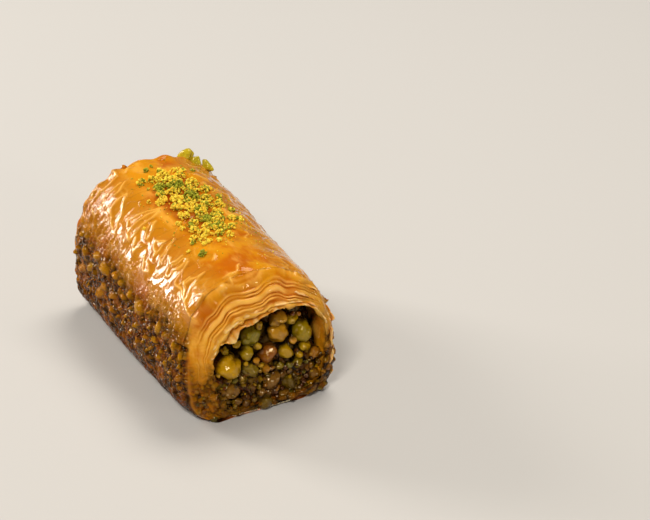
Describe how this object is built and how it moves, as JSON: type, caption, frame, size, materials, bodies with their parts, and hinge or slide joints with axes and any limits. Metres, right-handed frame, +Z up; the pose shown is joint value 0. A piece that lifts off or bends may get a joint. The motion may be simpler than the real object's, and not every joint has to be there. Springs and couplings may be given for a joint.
{
  "type": "rolled baklava piece",
  "caption": "Short rolled baklava piece: phyllo leaves wound round chopped pistachios, flat underside, cut ends showing the filling.",
  "frame": {"origin": "middle of the footprint, on the surface that the roll rests on", "axes": "+Y along the roll from the shown cut end to the far end, +Z up, +X to the right seen from the shown cut end"},
  "size_m": [0.0318, 0.05, 0.0287],
  "materials": {
    "phyllo": "syrup-glazed golden baked leaves",
    "pistachio_filling": "wet chopped nuts in dark syrup",
    "pistachio_crumb": "dry crumbly ground nuts",
    "syrup": "thick clear amber syrup"
  },
  "bodies": {
    "root": {"phyllo_wrap": "phyllo", "pistachio_filling": "pistachio_filling"}
  },
  "joints": []
}
